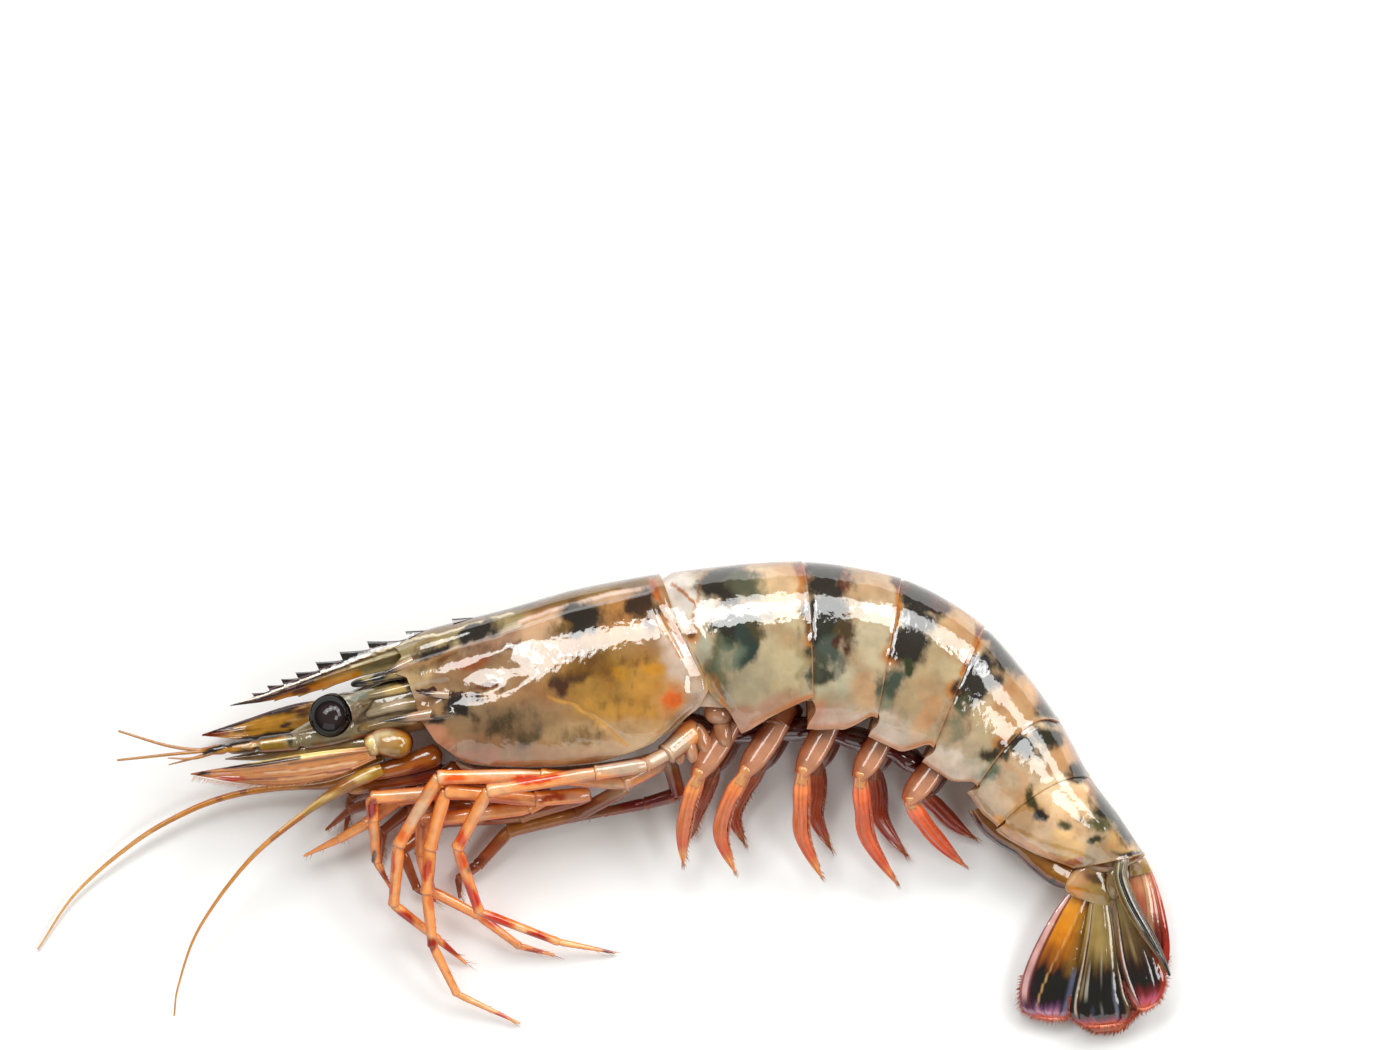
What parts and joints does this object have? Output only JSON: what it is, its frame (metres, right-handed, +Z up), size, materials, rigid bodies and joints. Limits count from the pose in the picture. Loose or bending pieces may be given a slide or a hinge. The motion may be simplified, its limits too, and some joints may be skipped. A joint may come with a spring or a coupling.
{
  "type": "raw tiger prawn",
  "caption": "Whole raw prawn in its shell, head on, lying on its side with a curved tail, fan, legs, swimmerets and long feelers.",
  "frame": {"origin": "under the middle of the prawn's bounding box, on the surface that it lies on", "axes": "+X from the head towards the tail, +Y from the belly towards the back, +Z up, out of the prawn's left flank"},
  "size_m": [0.1898, 0.0786, 0.0237],
  "materials": {
    "shell": "wet translucent shell, olive tan with dark teal bands",
    "flesh": "moist membrane",
    "eye": "polished near-black",
    "limb": "wet, salmon orange with red patches",
    "swimmeret": "wet, red orange",
    "feeler": "wet, amber",
    "tail_fan": "wet, dark with orange and red edges"
  },
  "bodies": {
    "root": {"carapace": "shell", "tail_segment_1": "shell", "tail_segment_2": "shell", "tail_segment_3": "shell", "tail_segment_4": "shell", "tail_segment_5": "shell", "tail_segment_6": "shell", "telson": "shell", "fan_base_left": "shell", "fan_base_right": "shell", "fan_inner_left": "tail_fan", "fan_inner_right": "tail_fan", "fan_outer_left": "tail_fan", "fan_outer_right": "tail_fan", "thorax_floor": "flesh", "tail_floor": "flesh", "eye_left": "eye", "eye_right": "eye", "antenna_base_left": "feeler", "antenna_base_right": "feeler", "antennal_scale_left": "feeler", "antennal_scale_right": "feeler", "antennule_left": "feeler", "antennule_right": "feeler", "antenna_left": "feeler", "antenna_right": "feeler", "jaw_leg_left": "limb", "jaw_leg_right": "limb", "leg_left_1": "limb", "leg_left_2": "limb", "leg_left_3": "limb", "leg_left_4": "limb", "leg_left_5": "limb", "leg_right_1": "limb", "leg_right_2": "limb", "leg_right_3": "limb", "leg_right_4": "limb", "leg_right_5": "limb", "swimmeret_left_1": "swimmeret", "swimmeret_left_2": "swimmeret", "swimmeret_left_3": "swimmeret", "swimmeret_left_4": "swimmeret", "swimmeret_left_5": "swimmeret", "swimmeret_right_1": "swimmeret", "swimmeret_right_2": "swimmeret", "swimmeret_right_3": "swimmeret", "swimmeret_right_4": "swimmeret", "swimmeret_right_5": "swimmeret"}
  },
  "joints": []
}
